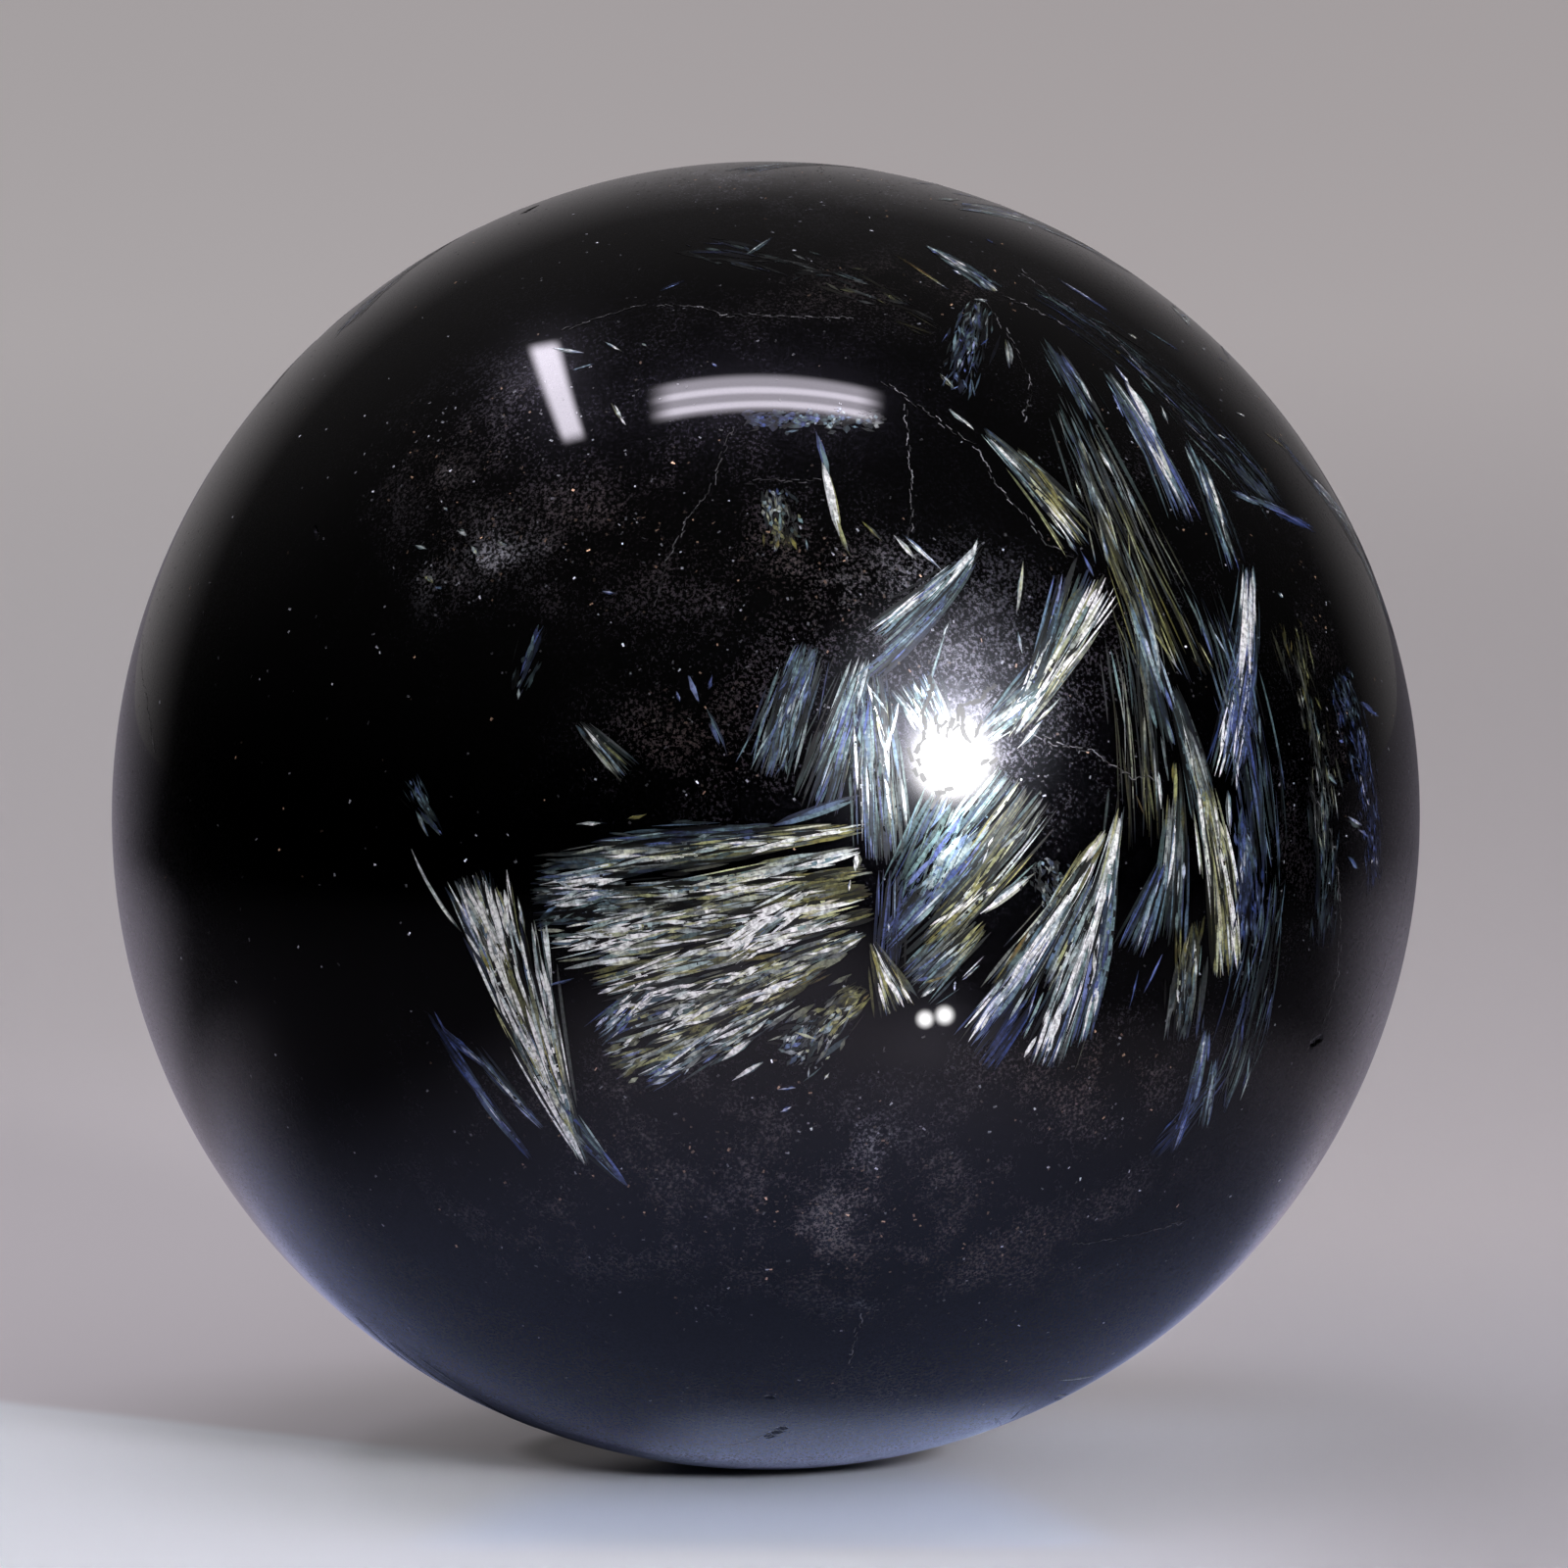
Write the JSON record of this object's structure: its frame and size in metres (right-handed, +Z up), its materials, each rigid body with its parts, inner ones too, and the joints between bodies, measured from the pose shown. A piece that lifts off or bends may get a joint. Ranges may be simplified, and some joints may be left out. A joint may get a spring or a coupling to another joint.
{
  "type": "arfvedsonite sphere",
  "caption": "Polished black stone ball with fans of silvery yellow and blue crystal needles, resting on a small flat underneath.",
  "frame": {"origin": "middle of the small flat that the ball stands on", "axes": "+Z up through the ball's centre; the face with the brightest crystal fans looks along -Y; +X to the right as that face is seen"},
  "size_m": [0.06, 0.06, 0.0598],
  "materials": {
    "polished_arfvedsonite": "high polish, near black, with fans of yellow-green, white and blue needles flush in the surface"
  },
  "bodies": {
    "root": {"arfvedsonite_sphere": "polished_arfvedsonite"}
  },
  "joints": []
}
